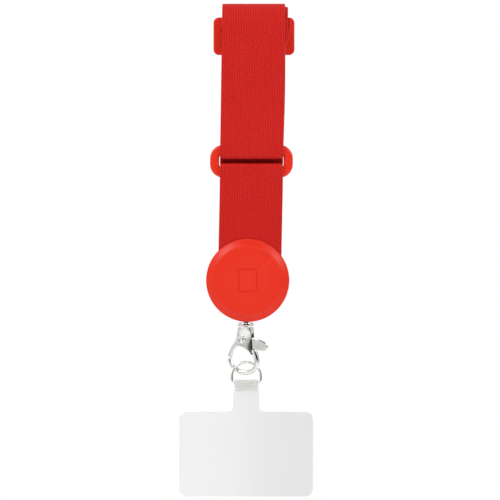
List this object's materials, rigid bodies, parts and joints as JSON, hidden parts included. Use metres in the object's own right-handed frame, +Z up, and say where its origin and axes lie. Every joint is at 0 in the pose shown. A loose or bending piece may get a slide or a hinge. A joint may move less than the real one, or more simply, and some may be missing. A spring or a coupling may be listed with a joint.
{
  "type": "neck lanyard with clasp and phone tether patch",
  "caption": "Wide webbing neck lanyard with adjuster, round joining housing, swivel lobster clasp, D-ring and clear phone tether patch.",
  "frame": {"origin": "top of the inside of the innermost strap fold, where the peg or hook carries the lanyard", "axes": "+Z up along the hanging lanyard, front towards -Y, +X to the wearer's left as seen from the front right"},
  "size_m": [0.0635, 0.0308, 0.2348],
  "materials": {
    "webbing": "matt",
    "red_plastic": "satin",
    "nickel": "polished",
    "steel": "satin",
    "ribbon": "matt",
    "clear_plastic": "satin"
  },
  "bodies": {
    "strap": {"adjuster_strap": "webbing", "neck_strap": "webbing", "rear_length": "webbing", "lower_strap": "webbing", "strap_loop": "red_plastic", "front_cover": "red_plastic", "rear_cover": "red_plastic", "strap_pin": "steel", "cover_screw_left": "steel", "cover_screw_right": "steel", "cover_screw_lower": "steel"},
    "slider": {"slider_frame": "red_plastic", "sewn_end": "webbing", "threaded_length": "webbing"},
    "swivel": {"swivel_eye": "nickel"},
    "clasp": {"clasp_body": "nickel", "gate_rivet": "nickel", "gate_spring": "steel"},
    "gate": {"clasp_gate": "nickel"},
    "ring": {"d_ring": "nickel"},
    "tether": {"ribbon_loop": "ribbon", "tether_patch": "clear_plastic"}
  },
  "joints": [
    {"name": "slider_travel", "type": "slide", "parent": "strap", "child": "slider", "axis": [0, 0, -1], "range_m": [0, 0.07], "deforming": ["rear_length"]},
    {"name": "eye_swing", "type": "hinge", "parent": "strap", "child": "swivel", "pos_m": [-0.0026, -0.0095, -0.1362], "axis": [0, 1, 0], "range_deg": [-8, 8]},
    {"name": "clasp_swivel", "type": "hinge", "parent": "swivel", "child": "clasp", "pos_m": [-0.0026, -0.0095, -0.1474], "axis": [0, 0, 1], "continuous": true},
    {"name": "gate_hinge", "type": "hinge", "parent": "clasp", "child": "gate", "pos_m": [-0.00353, -0.00912, -0.1534], "axis": [-0.3746, -0.9272, 0], "range_deg": [0, 20], "stiffness_Nm_per_rad": 0.01, "springref_deg": -20.05},
    {"name": "ring_swing", "type": "hinge", "parent": "clasp", "child": "ring", "pos_m": [-0.00297, -0.00935, -0.1692], "axis": [0.9272, -0.3746, 0], "range_deg": [-20, 12]},
    {"name": "tether_swing", "type": "hinge", "parent": "ring", "child": "tether", "pos_m": [-0.0022, -0.0095, -0.174], "axis": [0.9945, 0.1045, 0], "range_deg": [-90, 90]}
  ]
}
